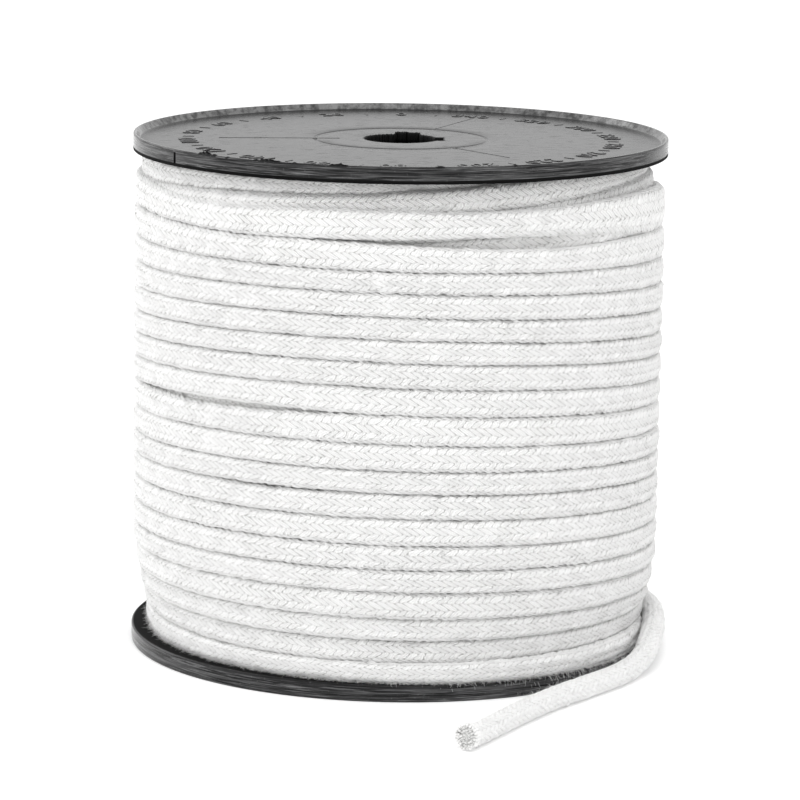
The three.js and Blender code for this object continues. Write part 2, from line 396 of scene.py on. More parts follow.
# %% [markdown]
# ## The outer layer as a braided tube
# Each turn is squeezed by its neighbours, so its section is a rounded square rather than a circle, and its
# flanks, where the strands stand out most, press a little into the next turn's. Only the outer two thirds of
# the section are made, because the rest is buried. The points stand where the strands' crowns and the
# valleys between them cross: rows a quarter of a stitch apart, every second one moved by half a step. The
# triangles' edges then run along the strands, and eight metres of braid need only about half a million of
# them. The cord isn't equally tight everywhere, so its stitches stand out more in some places.

# %% Section of a squeezed turn
SECTION_POWER = 3.3
SQUEEZE = 1.052
CORD_DEPTH, CORD_HEIGHT = 5.8, 6.1
FULL_DEPTH_FROM, LEAST_HALF = 1.8, 0.3
FLANK_RELIEF = 1.15
WOUND_MEAN_HEIGHT = 0.78
RIB_SPACING = math.pi * CORD_HEIGHT / RIBS
BRAID_LEAN = -0.29
MEAN_RADIUS = 64.1
TURN_COLUMNS = 17


def section_angles():
    a = np.linspace(-np.pi, np.pi, 4001)
    x = CORD_DEPTH / 2 * np.sign(np.cos(a)) * np.abs(np.cos(a)) ** (2 / SECTION_POWER)
    z = CORD_HEIGHT / 2 * np.sign(np.sin(a)) * np.abs(np.sin(a)) ** (2 / SECTION_POWER)
    arc = np.concatenate([[0], np.cumsum(np.hypot(np.diff(x), np.diff(z)))])
    return lambda place: np.interp(place, arc - arc[2000], a)


section_angle = section_angles()


def round_axis(radius, turn_angle, height):
    """Points at a distance from the axis, an angle from the front and a height."""
    x, y = radius * np.sin(turn_angle), -radius * np.cos(turn_angle)
    return np.stack(np.broadcast_arrays(x, y, height), -1)


def turn_place(number, section, lift, edges, reach):
    """A point on the wound cord, in millimetres: number counts turns, section goes round the cord."""
    low, high = edges(number)
    middle, half = (low + high) / 2, np.maximum((high - low) / 2, LEAST_HALF)
    depth = CORD_DEPTH / 2 * np.minimum(1.0, half / FULL_DEPTH_FROM)
    cos, sin = np.cos(section), np.sin(section)
    out = np.sign(cos) * np.abs(cos) ** (2 / SECTION_POWER)
    up = np.sign(sin) * np.abs(sin) ** (2 / SECTION_POWER)
    radius = reach(number) - CORD_DEPTH / 2 + depth * out + lift * cos
    height = middle + SQUEEZE * half * up + FLANK_RELIEF * lift * sin
    return round_axis(radius, number * 2 * np.pi, height)


# %% Builder for wound cord
def braid_faces(rows, columns):
    """Two triangles for each cell, cut along the strand that crosses it."""
    r, c = np.meshgrid(np.arange(rows - 1), np.arange(columns - 1), indexing="ij")
    here, right = r * columns + c, r * columns + c + 1
    above, above_right = here + columns, right + columns
    even = (r % 2 == 0)[..., None]
    first = np.where(even, np.stack([here, above, right], -1), np.stack([here, above_right, right], -1))
    second = np.where(even, np.stack([right, above, above_right], -1),
                      np.stack([here, above, above_right], -1))
    return np.concatenate([first.reshape(-1, 3), second.reshape(-1, 3)])


def wound_cord(name, first, last, columns, edges, reach):
    """Cord wound round the axis from turn number first to last; edges gives its lower and upper height."""
    stitches = 2 * np.pi * MEAN_RADIUS * MM / STITCH
    k = np.arange(2 * int(first * stitches * 2), 2 * int(last * stitches * 2) + 1)[:, None]
    m = (np.arange(columns) - (columns - 1) // 2)[None, :]
    along = k / 4 + 0.0 * m
    around = m / 2 + np.where(k % 2 == 1, 0.25, 0.0)
    wobble = 0.18 * np.sin(1.7 * along + 2.1 * around) + 0.15 * np.sin(0.61 * along - 1.3 * around + 0.7)
    number = (along * (STITCH / MM) + BRAID_LEAN * RIB_SPACING * around + wobble) / (2 * np.pi * MEAN_RADIUS)
    drift = 0.35 * np.sin(number * 5.3) + 0.25 * np.sin(number * 11.9 + 1.0)
    tightness = 1 + 0.22 * np.sin(number * 9.7 + 0.4) + 0.18 * np.sin(number * 23.3 + around)
    lift = (braid_height(along, around) - WOUND_MEAN_HEIGHT) * RELIEF / MM * tightness
    points = turn_place(number, section_angle(around * RIB_SPACING + drift), lift, edges, reach) * MM
    faces = braid_faces(*points.shape[:2])
    print(name, "has", len(faces), "triangles")
    return add_mesh(name, points, faces, np.stack([along, around], -1))


# %% Outer layer
def outer_edges(number):
    turn_angle = number * 2 * np.pi
    high = groove_height(number, turn_angle) + stray(number, "below")
    low = groove_height(number + 1, turn_angle) + stray(number + 1, "above")
    return np.clip(low, LOW, HIGH), np.clip(high, LOW, HIGH)


TURNS = (-0.5, 6.0, 12.5, 19.2)
windings = [
    wound_cord("winding_turns_" + part, first, last, TURN_COLUMNS, outer_edges, crest_radius)
    for part, first, last in zip(("top", "middle", "foot"), TURNS, TURNS[1:])
]

# %% [markdown]
# ## The layer underneath
# Under the upper flange the outer layer stops short, and the layer below it shows. Its turns climb the
# other way, as they do on every reel: one layer goes up, the next one comes down. The same layer also closes
# the slits between the outer turns, so nothing looks hollow. Its line wanders as the table says, and in
# three places it swells out until it is nearly level with the outer layer. Each entry gives the turn number
# where such a place starts and ends, how soon it swells, and how far.

# %% Under layer
UNDER_LINE_ANGLES = np.array([-180, -135, -90, -50, -10, 30, 70, 90, 130, 180])
UNDER_LINE_HEIGHTS = np.array([118.9, 118.6, 119.3, 121.1, 122.6, 125.6, 128.6, 128.9, 127.2, 125.0])
UNDER_PITCH, UNDER_OVERLAP = 6.1, 0.2
UNDER_TURNS, UNDER_COLUMNS = (-2.45, 1.15), 13
SWELLS = [(-0.36, -0.01, 0.10, 1.9), (0.60, 0.97, 0.10, 1.3), (-1.91, -1.75, 0.05, 1.8)]


def under_line(degrees):
    whole = np.floor((degrees + 180) / 360)
    inside = degrees - 360 * whole
    angles = np.concatenate([UNDER_LINE_ANGLES[-3:-1] - 360, UNDER_LINE_ANGLES, UNDER_LINE_ANGLES[1:3] + 360])
    heights = np.concatenate([UNDER_LINE_HEIGHTS[-3:-1] - UNDER_PITCH, UNDER_LINE_HEIGHTS,
                              UNDER_LINE_HEIGHTS[1:3] + UNDER_PITCH])
    slopes = np.gradient(heights, angles)
    row = np.clip(np.searchsorted(angles, inside, side="right") - 1, 0, len(angles) - 2)
    width = angles[row + 1] - angles[row]
    line = curve_between((inside - angles[row]) / width, heights[row], slopes[row] * width,
                         heights[row + 1], slopes[row + 1] * width)
    return line + UNDER_PITCH * whole


def under_edges(number):
    line = under_line(number * 360)
    low, high = line - UNDER_PITCH - UNDER_OVERLAP, line + UNDER_OVERLAP
    return np.clip(low, LOW, HIGH), np.clip(high, LOW, HIGH)


def under_reach(number):
    low, high = under_edges(number)
    level = sum(out * np.clip(np.minimum(number - start, end - number) / soon, 0, 1)
                for start, end, soon, out in SWELLS)
    return UNDER_REACH + level - 0.55 * np.clip(UNDER_PITCH - (high - low), 0, 5)


under_top = wound_cord("winding_under_top", *UNDER_TURNS, UNDER_COLUMNS, under_edges, under_reach)

# %% [markdown]
# Below the first outer turn only slits show, so there the under layer needs far fewer points. Towards the
# foot the outer turns have slipped inwards, and the layer under them has done the same. On the left, half
# way up, it swells out behind the widest slit, which therefore looks shallow.

# %% Under layer, lower part
CORE_HEIGHTS = [6, 12, 20, 27, 34]
CORE_REACHES = [59.4, 60.0, 61.2, 62.4, UNDER_REACH - 0.2]
CORE_TOP, CORE_TOP_SINKS, CORE_INSIDE = 105.5, 2.2, 30.0
VALLEY_DEPTH = 1.9
SLIT_HEIGHT, SLIT_SPREAD, SLIT_ANGLE, SLIT_SWELL = 70.3, 3.5, -0.75, 1.1


def ridged_core():
    rows, columns = 300, 72
    height = np.linspace(LOW, HIGH, rows)[:, None]
    turn_angle = np.linspace(0, 2 * np.pi, columns + 1)[None, :]
    phase = (height / UNDER_PITCH - turn_angle / (2 * np.pi)) * np.pi
    reach = np.interp(height, CORE_HEIGHTS, CORE_REACHES)
    radius = reach - VALLEY_DEPTH * (1 - np.abs(np.sin(phase)) ** 0.7)
    radius = np.where(height > CORE_TOP, radius - CORE_TOP_SINKS, radius)
    facing = np.clip(1.3 * np.cos(turn_angle - SLIT_ANGLE), 0, 1)
    radius = radius + SLIT_SWELL * np.exp(-((height - SLIT_HEIGHT) / SLIT_SPREAD) ** 2) * facing
    radius[[0, -1]] = CORE_INSIDE
    points = round_axis(radius, turn_angle, height) * MM
    flat = np.stack([turn_angle * MEAN_RADIUS * MM / STITCH + 0 * height,
                     height / RIB_SPACING + 0 * turn_angle], -1)
    return add_mesh("winding_under_layers", points, grid_quads(rows, columns + 1), flat)


under_core = ridged_core()
for piece in (*windings, under_top, under_core):
    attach(piece, BODY)
    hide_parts("winding")

# %% [markdown]
# ## Loose fibres
# Cotton is spun from short fibres, and some of them always stand off the yarn. They soften the cord's
# outline against the dark rim and round the foot, where the reel is handled. Each fibre is a thin, bent
# tube that starts on the cord's surface.

# %% Fibres
def fibres(name, node, roots, outwards, lengths, thickness=0.028):
    count = len(roots)
    wander = chance.normal(0, 0.55, (count, 3))
    curl = chance.normal(0, 0.45, (count, 3))
    share = np.array([0.0, 0.5, 1.0])[None, :, None]
    way = unit(outwards + wander)[:, None]
    paths = roots[:, None] + lengths[:, None, None] * (way * share + curl[:, None] * share**2)
    paths[..., 2] = np.maximum(paths[..., 2], 0.05)
    thick = np.broadcast_to(np.array([1.0, 0.8, 0.3]) * thickness, (count, 3))
    piece = thin_tubes(name, paths * MM, thick * MM, 3)
    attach(piece, BODY)
    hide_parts(node)
    return piece


def on_turns(count, first, last, low_section, high_section, lengths):
    number = chance.uniform(first, last, count)
    section = np.radians(chance.uniform(low_section, high_section, count))
    root = turn_place(number, section, 0.0, outer_edges, crest_radius)
    above = turn_place(number, section, 1.0, outer_edges, crest_radius)
    return root, unit(above - root), chance.uniform(*lengths, count)


winding_fibres = fibres("winding_fibres", "winding", *on_turns(2200, 0.0, 18.6, -75, 75, (0.3, 1.0)))
low_roots = zip(on_turns(5800, 17.70, 18.26, -88, -30, (0.4, 1.5)),
                on_turns(2000, 18.26, 18.9, -88, -30, (0.4, 1.3)))
foot_fibres = fibres("winding_foot_fibres", "winding", *map(np.concatenate, low_roots), thickness=0.036)

# %% Fibres on the free end
FREE_FIBRES, CUT_FIBRES = 2200, 260
rows = chance.integers(exit_row + 60, len(whole_route) - 3, FREE_FIBRES)
turn = chance.uniform(-0.3, np.pi + 0.3, FREE_FIBRES)
outwards = sideways[rows] * np.cos(turn)[:, None] + upwards[rows] * np.sin(turn)[:, None]
raised = 0.24 * CORD_DIAMETER / 2 / MM * flare[rows] - 0.3
roots = whole_route[rows] / MM + outwards * 2.7 + raised[:, None] * (0, 0, 1)
free_fibres = fibres("loose_end_fibres", "loose_end", roots, outwards, chance.uniform(0.3, 1.0, FREE_FIBRES))
turn = chance.uniform(0, 2 * np.pi, CUT_FIBRES)
outwards = sideways[-1] * np.cos(turn)[:, None] + upwards[-1] * np.sin(turn)[:, None]
roots = cut_centre / MM + outwards * chance.uniform(0.3, 3.3, CUT_FIBRES)[:, None] + heading[-1] * 0.2
outwards = outwards * 0.5 + heading[-1] * 0.9
cut_fibres = fibres("loose_end_cut_fibres", "loose_end", roots, outwards,
                    chance.uniform(0.5, 1.6, CUT_FIBRES))
all_fibres = (winding_fibres, foot_fibres, free_fibres, cut_fibres)
print("fibres:", sum(len(piece.data.polygons) for piece in all_fibres), "faces")

# %% [markdown]
# ## The flanges
# Each flange is one black moulding: a disc whose outer face is sunk inside a raised lip, with a fine
# groove round the hub and a keyed hole for the spindle. It is swept, like a turned part, from an outline,
# and the hole's edge is found for each direction, with its notches. The mould has left small burrs on the
# lip and a rough edge at the back of the hole, a short slot in the rim holds the cord's start, and the
# upper flange of the full reel sits a little askew.

# %% Hole's edge
HOLE_RADIUS = 9.2
KEYWAYS = [(90, -0.15, 3.4, 14.0), (90, -3.2, 3.2, 12.6), (0, 0.0, 7.0, 10.7)]
SLOT_ANGLE, SLOT_HALF = math.radians(-54.4), math.radians(0.36)
BURRS = [(-45.6, 0.5, 0.55), (-44.6, 0.8, 0.75), (-43.4, 0.9, 0.60), (-41.9, 0.6, 0.45), (-38.0, 0.3, 0.35),
         (-30.6, 0.5, 0.30), (-29.0, 0.9, 0.50), (-27.2, 0.9, 0.45), (-25.8, 0.7, 0.40), (-22.0, 0.5, 0.25),
         (-13.4, 0.8, 0.40), (-11.8, 0.9, 0.35), (8.0, 0.6, 0.25), (24.0, 0.5, 0.25)]


def hole_edge(turn_angle):
    """Distance from the axis to the keyed hole's edge, in the direction of each angle from the front."""
    x, y = np.sin(turn_angle), -np.cos(turn_angle)
    edge = np.full(turn_angle.shape, HOLE_RADIUS)
    for degrees, aside, width, reach in KEYWAYS:
        a = math.radians(degrees)
        ahead, across = x * math.cos(a) + y * math.sin(a), -x * math.sin(a) + y * math.cos(a)
        to_end = np.where(ahead > 1e-6, reach / np.maximum(ahead, 1e-6), 0)
        side = np.where(across > 0, aside + width / 2, aside - width / 2)
        to_side = np.where(np.abs(across) > 1e-6, side / np.where(across == 0, 1e-9, across), 1e3)
        to_side = np.where(to_side < 0, 0, to_side)
        edge = np.maximum(edge, np.where(ahead > 0, np.minimum(to_end, to_side), 0))
    return edge


print("hole reaches", [round(float(v), 1) for v in hole_edge(np.radians(np.array([0, 90, 180, 193])))])

# %% Flange
FLANGE_RADIUS, FLANGE_THICK, REEL_HEIGHT = 67.5, 4.2, 130.8
SUNK = 2.55
TILT, SAG, LOW_SIDE = 0.46, 0.20, -0.45
# reach, height: from the hole out along the inner side, up the rim, over the lip, in along the face
OUTLINE = [
    (16.5, 0.0), (30.0, 0.0), (50.0, 0.0), (67.2, 0.0), (67.42, 0.02), (67.48, 0.07), (67.5, 0.16),
    (67.5, 0.80), (67.5, 0.86), (67.5, 2.30), (67.54, 2.38), (67.54, 2.44), (67.5, 2.52), (67.5, 3.40),
    (67.5, 3.46), (67.5, 3.78), (67.46, 3.98), (67.36, 4.12), (67.22, 4.18), (67.10, 4.2), (66.92, 4.2),
    (66.78, 4.13), (66.62, 3.90), (66.1, 3.15), (65.85, 2.80), (65.6, 2.62),
    *[(reach, SUNK) for reach in (65.2, 64.2, 62.5, 59.0, 55.0, 50.0, 42.0, 34.0, 27.0, 22.35)],
    (22.2, 2.51), (22.0, 2.36), (21.5, 2.36), (21.3, 2.51), (21.15, SUNK), (18.5, SUNK), (15.6, SUNK),
]
FOOT_OF_RIM = [(66.95, 0.0), (67.25, 0.06), (67.45, 0.22), (67.5, 0.42)]
FACE = REEL_HEIGHT - FLANGE_THICK + SUNK
LIP = (OUTLINE.index((66.92, 4.2)), OUTLINE.index((65.6, 2.62)))
SLOT_LOW, SLOT_HIGH, SLOT_DEEP_BELOW, SLOT_DEEP, SLOT_SHALLOW = 0.83, 3.43, 2.35, 3.5, 0.9
HOLE_OUTLINE = [(0.7, SUNK), (0.22, 2.52), (0.05, 2.39), (0.0, 2.1), (0.0, 0.9), (0.0, 0.25), (0.2, 0.0)]


def flange_angles(count):
    corners = []
    for degrees, aside, width, reach in KEYWAYS:
        for side in (aside - width / 2, aside + width / 2):
            for ahead in (math.sqrt(max(HOLE_RADIUS**2 - side**2, 0)), reach):
                corner = math.radians(degrees + 90) + math.atan2(side, ahead)
                corners += [corner - 0.004, corner, corner + 0.004]
    slot = [SLOT_ANGLE + k * SLOT_HALF for k in (-1.15, -1.0, 1.0, 1.15)]
    even = np.linspace(-np.pi, np.pi, count, endpoint=False)
    extra = (np.array(corners + slot) + np.pi) % (2 * np.pi) - np.pi
    return np.append(np.unique(np.round(np.concatenate([even, extra]), 5)), np.round(np.pi, 5))


def rough(turn_angle, seed, waves):
    shift = np.random.default_rng(seed).uniform(0, 2 * np.pi, len(waves))
    return sum(np.sin(turn_angle * wave + s) for wave, s in zip(waves, shift)) / len(waves)


def bend(reach, turn_angle):
    """How far the upper flange hangs down, in millimetres: it sits askew, and its rim sags."""
    share = reach / FLANGE_RADIUS
    return TILT * share * np.cos(turn_angle - LOW_SIDE) + SAG * share**3


run = np.concatenate([[0], np.cumsum([math.dist(a, b) for a, b in zip(OUTLINE, OUTLINE[1:])])])
run = np.concatenate([run, run[-1] + 1.0 + 0.3 * np.arange(1, len(HOLE_OUTLINE) + 1)]) * MM


def make_flange(name, count, upper):
    turn_angle = flange_angles(count)
    edge = hole_edge(turn_angle)
    outline = list(OUTLINE)
    if upper:
        at_back = np.clip(np.cos(turn_angle - math.radians(188)) * 2.2 - 0.6, 0, 1)
        edge = edge - 0.30 * at_back * (0.6 + rough(turn_angle, 3, (41, 67, 97, 131, 173)))
    else:
        outline[3:7] = FOOT_OF_RIM
    reach, height = np.repeat(np.array(outline + HOLE_OUTLINE).T[..., None], len(turn_angle), axis=2)
    reach[len(outline):] += edge
    in_shade = np.abs((turn_angle - SLOT_ANGLE + np.pi) % (2 * np.pi) - np.pi) <= SLOT_HALF * 1.05
    in_shade = in_shade & (reach > 67.4) & (height > SLOT_LOW) & (height < SLOT_HIGH) & upper
    slot_depth = np.where(height < SLOT_DEEP_BELOW, SLOT_DEEP, SLOT_SHALLOW)
    reach = np.where(in_shade, reach - slot_depth, np.minimum(reach, FLANGE_RADIUS) if upper else reach)
    if upper:
        edge_rows = (reach > 66.8) & (height > 3.9)
        for degrees, half, proud in BURRS:
            off = ((turn_angle - math.radians(degrees) + np.pi) % (2 * np.pi) - np.pi) / math.radians(half)
            crumb = 0.7 + 0.6 * rough(turn_angle, int(abs(degrees)), (301, 433, 587))
            crumb = np.clip(1 - off**2, 0, 1) ** 0.5 * crumb
            height = np.where(edge_rows, height + proud * crumb, height)
            in_shade = in_shade | (edge_rows & (crumb > 0.2))
        burr = (np.arange(len(height)) == len(OUTLINE) + 1)[:, None] * at_back
        height = height + 0.25 * burr * np.clip(rough(turn_angle, 8, (53, 89, 149, 211)) + 0.3, 0, 1)
    height = REEL_HEIGHT - FLANGE_THICK + height - bend(reach, turn_angle) if upper else FLANGE_THICK - height
    points = round_axis(reach, turn_angle, height) * MM
    points[:, -1] = points[:, 0]
    faces = grid_quads(*points.shape[:2], close_rows=True)
    # Faces in the slot and on the burrs are moved off the outline, so that the finish paints them plain
    # black: painted shade
    flat = np.stack([turn_angle * FLANGE_RADIUS * MM + 0 * reach,
                     np.where(in_shade, -5 * MM, run[:, None])], -1)
    piece = add_mesh(name, points, faces if upper else faces[:, ::-1], flat)
    piece.data.set_sharp_from_angle(angle=math.radians(50))
    # Painted shade: the inner side, and on the upper flange the foot of the rim, take a second, darker and
    # matt finish that mirrors almost nothing
    shaded_rows = 8 if upper else 3
    shaded_faces = faces.min(axis=1) // points.shape[1] < shaded_rows
    piece.data.polygons.foreach_set("material_index", shaded_faces.astype(int))
    print(name, "has", 2 * len(faces), "triangles")
    return piece


flange_pieces = [make_flange("flange_top_moulded", 720, True),
                 make_flange("flange_bottom_moulded", 480, False)]
for piece, node in zip(flange_pieces, ("flange_top", "flange_bottom")):
    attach(piece, BODY)
    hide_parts(node)

# %% [markdown]
# ## Marks on the upper face
# The face carries raised marks from the mould: three fine lines from the hub outwards, and near the lip a
# plain dial of numbers with a tick between each two. Blender's built-in font gives their outlines, turned
# into meshes and laid round the ring, tops outwards.

# %% Marks
DIAL_RADIUS = 53.7
NUMERAL_SIZE, NUMERAL_RISE, TICK_RISE, LINE_RISE = 6.2, 0.09, 0.11, 0.08
LINES = [(-87, 15.5, 46.0), (37, 21.5, 44.0), (158, 24.0, 51.0)]


def bar(start, end, half_width, rise):
    """A low raised line with sloping sides, from start to end on the face."""
    start, end = np.array(start, float), np.array(end, float)
    ahead = (end - start) / np.linalg.norm(end - start)
    side = np.array([-ahead[1], ahead[0]])
    corners = []
    for middle, sign in ((start, -1), (end, 1)):
        for across, up, inset in ((-1.3, -0.1, 0), (-0.8, rise, 0.1), (0.8, rise, 0.1), (1.3, -0.1, 0)):
            corners.append((*(middle + side * across * half_width - sign * ahead * inset), FACE + up))
    faces = [(0, 4, 5, 1), (1, 5, 6, 2), (2, 6, 7, 3), (3, 7, 4, 0), (0, 1, 2, 3), (7, 6, 5, 4)]
    return np.array(corners), faces


def numeral(text, degrees):
    curve = bpy.data.curves.new("numeral", "FONT")
    curve.body, curve.size, curve.extrude, curve.space_character = text, NUMERAL_SIZE, NUMERAL_RISE, 1.12
    curve.bevel_depth, curve.bevel_resolution, curve.resolution_u = 0.05, 0, 4
    curve.align_x, curve.align_y = "CENTER", "CENTER"
    holder = put_in_scene("numeral", curve)
    shape = bpy.data.meshes.new_from_object(holder.evaluated_get(bpy.context.evaluated_depsgraph_get()))
    local = np.array([v.co for v in shape.vertices])
    faces = [tuple(face.vertices) for face in shape.polygons]
    bpy.data.objects.remove(holder)
    a = math.radians(degrees)
    outward, right = np.array([math.sin(a), -math.cos(a)]), np.array([-math.cos(a), -math.sin(a)])
    flat = outward * (DIAL_RADIUS + local[:, 1:2]) + right * local[:, :1]
    return np.column_stack([flat, FACE + local[:, 2] + 0.02]), faces


def polar(radius, degrees):
    a = math.radians(degrees)
    return radius * math.sin(a), -radius * math.cos(a)


marks = [bar(polar(near, a), polar(far, a), 0.18, LINE_RISE) for a, near, far in LINES]
marks += [numeral(str(step * 20), 180 + step * 20) for step in range(18)]
marks += [bar(polar(52.2, a), polar(55.2, a), 0.26, TICK_RISE) for a in range(10, 360, 20)]
corners, faces, count = [], [], 0
for points, shape in marks:
    corners.append(points)
    faces += [tuple(corner + count for corner in face) for face in shape]
    count += len(points)
corners = np.concatenate(corners)
corners[:, 2] -= bend(np.hypot(corners[:, 0], corners[:, 1]), np.arctan2(corners[:, 0], -corners[:, 1]))
mesh = bpy.data.meshes.new("flange_top_marks")
mesh.from_pydata((corners * MM).tolist(), [], faces)
on_face = mesh.uv_layers.new(name="flat")
on_face.data.foreach_set("uv", np.tile([0.0, run[LIP[1] + 5]], len(mesh.loops)))
face_marks = put_in_scene("flange_top_marks", mesh)
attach(face_marks, BODY)
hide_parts("flange_top")
print("marks have", len(mesh.polygons), "faces")

# %% [markdown]
# ## Cotton
# Bleached cotton is nearly white and quite matt, with a faint sheen from its loose fibres. The pits of the
# braid are painted darker, a painted shade where light doesn't reach them, more in some places than in
# others, with faint patches of random tone. The finish works out, from the same braid coordinates, which
# strand is on top, and draws three fine threads along it, with painted shade in the gaps between them.
# Under the flange and in the slits the painted shade is stronger, and on the brightly lit free end it is
# weaker. The helpers let a finish be written as plain arithmetic: each sum or product adds the node that
# works it out.

# %% Node helpers
class Value:
    """What a material's nodes work out, for use in plain arithmetic."""

    def __init__(self, tree, output):
        self.tree, self.output = tree, output

    def __add__(self, other):
        return calc("ADD", self, other)

    def __sub__(self, other):
        return calc("SUBTRACT", self, other)

    def __rsub__(self, other):
        return calc("SUBTRACT", other, self)

    def __mul__(self, other):
        return calc("MULTIPLY", self, other)


def feed(socket, value):
    """Link a socket to a value, or set it to a number or a colour."""
    if isinstance(value, Value):
        value.tree.links.new(value.output, socket)
    else:
        socket.default_value = (*value, 1.0) if isinstance(value, tuple) else value


def calc(operation, *values):
    tree = next(value.tree for value in values if isinstance(value, Value))
    node = tree.nodes.new("ShaderNodeMath")
    node.operation = operation
    for socket, value in zip(node.inputs, values):
        feed(socket, value)
    return Value(tree, node.outputs[0])


def blend_colours(share, first, second):
    node = share.tree.nodes.new("ShaderNodeMix")
    node.data_type = "RGBA"
    for number, value in ((0, share), (6, first), (7, second)):
        feed(node.inputs[number], value)
    return Value(share.tree, node.outputs[2])


def ramp(value, low, high):
    node = value.tree.nodes.new("ShaderNodeMapRange")
    node.interpolation_type = "SMOOTHSTEP"
    node.inputs["From Min"].default_value, node.inputs["From Max"].default_value = low, high
    feed(node.inputs["Value"], value)
    return Value(value.tree, node.outputs["Result"])


def noise_at(tree, place, scale, detail, roughness):
    texture = tree.nodes.new("ShaderNodeTexNoise")
    for name, value in (("Scale", scale), ("Detail", detail), ("Roughness", roughness)):
        texture.inputs[name].default_value = value
    tree.links.new(place, texture.inputs["Vector"])
    return Value(tree, texture.outputs["Fac"])


def noise(tree, scale, detail, roughness, stretch=(1, 1, 1)):
    place = tree.nodes.new("ShaderNodeTexCoord")
    mapping = tree.nodes.new("ShaderNodeMapping")
    mapping.inputs["Scale"].default_value = stretch
    tree.links.new(place.outputs["Object"], mapping.inputs["Vector"])
    return noise_at(tree, mapping.outputs["Vector"], scale, detail, roughness)


def flat_place(tree):
    """The flat coordinates of a piece: along it and round it, or round the rim and along its outline."""
    place = tree.nodes.new("ShaderNodeUVMap")
    place.uv_map = "flat"
    split = tree.nodes.new("ShaderNodeSeparateXYZ")
    tree.links.new(place.outputs["UV"], split.inputs[0])
    return Value(tree, split.outputs["X"]), Value(tree, split.outputs["Y"])


def bump(shader, height, distance, strength):
    node = height.tree.nodes.new("ShaderNodeBump")
    node.inputs["Distance"].default_value = distance
    node.inputs["Strength"].default_value = strength
    feed(node.inputs["Height"], height)
    height.tree.links.new(node.outputs["Normal"], shader.inputs["Normal"])


def new_material(name, colour, roughness, specular=0.5):
    material = bpy.data.materials.new(name)
    material.use_nodes = True
    material.diffuse_color = (*colour, 1.0)
    tree = material.node_tree
    shader = tree.nodes["Principled BSDF"]
    shader.inputs["Base Color"].default_value = (*colour, 1.0)
    shader.inputs["Roughness"].default_value = roughness
    shader.inputs["Specular IOR Level"].default_value = specular
    return material, tree, shader


# %% Cotton material
THREADS = 3
PIT_BELOW, PIT_SHADE, THREAD_GAP_SHADE, PATCH_DUST = 0.66, 2.1, 0.24, 0.22


def cotton_material(name, braided, painted_shade_gain=1.0):
    material, tree, shader = new_material(name, (0.87, 0.87, 0.865), 0.92, specular=0.25)
    shader.inputs["Sheen Weight"].default_value = 0.06
    shader.inputs["Sheen Roughness"].default_value = 0.5
    fluff = noise(tree, 2600.0, 3.0, 0.7)
    if not braided:
        bump(shader, fluff, 0.00025, 0.8)
        feed(shader.inputs["Base Color"], blend_colours(fluff, (0.95, 0.95, 0.945), (0.86, 0.855, 0.845)))
        return material

    wander = (noise(tree, 420.0, 3.0, 0.65) - 0.5) * 0.80
    along, around = flat_place(tree)
    along, around = along + wander, around - wander * 0.6
    over = calc("COSINE", (around - 0.25) * math.pi) * STRAND_WAVE
    heights, offs = [], []
    for operation in ("ADD", "SUBTRACT"):
        line = calc(operation, along, around)
        off = line - calc("ROUND", line)
        crown = calc("SQRT", calc("MAXIMUM", 1.0 - off * off * 4.0, 0.0)) * STRAND_ROUND
        heights.append(calc(operation, crown, over))
        offs.append(off)
    upper = calc("MAXIMUM", *heights)
    across = offs[1] + calc("GREATER_THAN", *heights) * (offs[0] - offs[1])
    threads = calc("COSINE", across * (2 * THREADS * math.pi))
    bump(shader, upper * 0.50 + (threads * 0.20 + fluff * 0.35), 0.00036, 0.9)
    # painted shade: the pits of the braid and the gaps between its threads are painted darker, more where the
    # gain is larger
    pit = calc("MAXIMUM", PIT_BELOW - upper, 0.0) * (PIT_SHADE * painted_shade_gain)
    between = calc("MAXIMUM", threads * -1.0, 0.0) * (THREAD_GAP_SHADE * painted_shade_gain)
    patches = noise(tree, 700.0, 2.0, 0.6) * (PATCH_DUST * painted_shade_gain)
    places = calc("MAXIMUM", noise(tree, 150.0, 3.0, 0.6) * 2.4 - 0.2, 0.0)
    shade = calc("MINIMUM", (pit + between) * places + patches, 1.0)
    feed(shader.inputs["Base Color"], blend_colours(shade, (0.945, 0.945, 0.94), (0.42, 0.415, 0.405)))
    return material


def dress(material, *pieces):
    for piece in pieces:
        piece.data.materials.append(material)


# Three copies of one braid finish: painted shade is stronger on the under layer, which the flange and the
# slits shade, and weaker on the brightly lit free end, a painted light
dress(cotton_material("cotton_braid", True), last_turn, *windings)
dress(cotton_material("cotton_braid_painted_light", True, painted_shade_gain=0.42), free_end)
dress(cotton_material("cotton_braid_painted_shade", True, painted_shade_gain=1.15), under_top, under_core)
dress(cotton_material("cotton_loose", False), cut_end, *all_fibres)
print("cotton on", len(windings) + len(all_fibres) + 5, "pieces")

# %% [markdown]
# ## Black plastic
# The plastic is black with a dull gloss. Seen at a slant, the face mirrors the white room and turns mid
# grey. Handling has left pale streaks along the rim and fine scratches on the face. The lip is painted a
# paler grey, broken up by scuffs: a painted reflection of the bright room. The streaks are a noise that is
# drawn out round the axis. The inner sides and the edges next to them get a second, darker and matt
# finish, which mirrors almost nothing: painted shade where the winding and the flange shade them. The
# slot and the burrs on the lip are painted plain black, as painted shade.

# %% Plastic material
def vector_node(tree, operation, first):
    node = tree.nodes.new("ShaderNodeVectorMath")
    node.operation = operation
    tree.links.new(first, node.inputs[0])
    return node


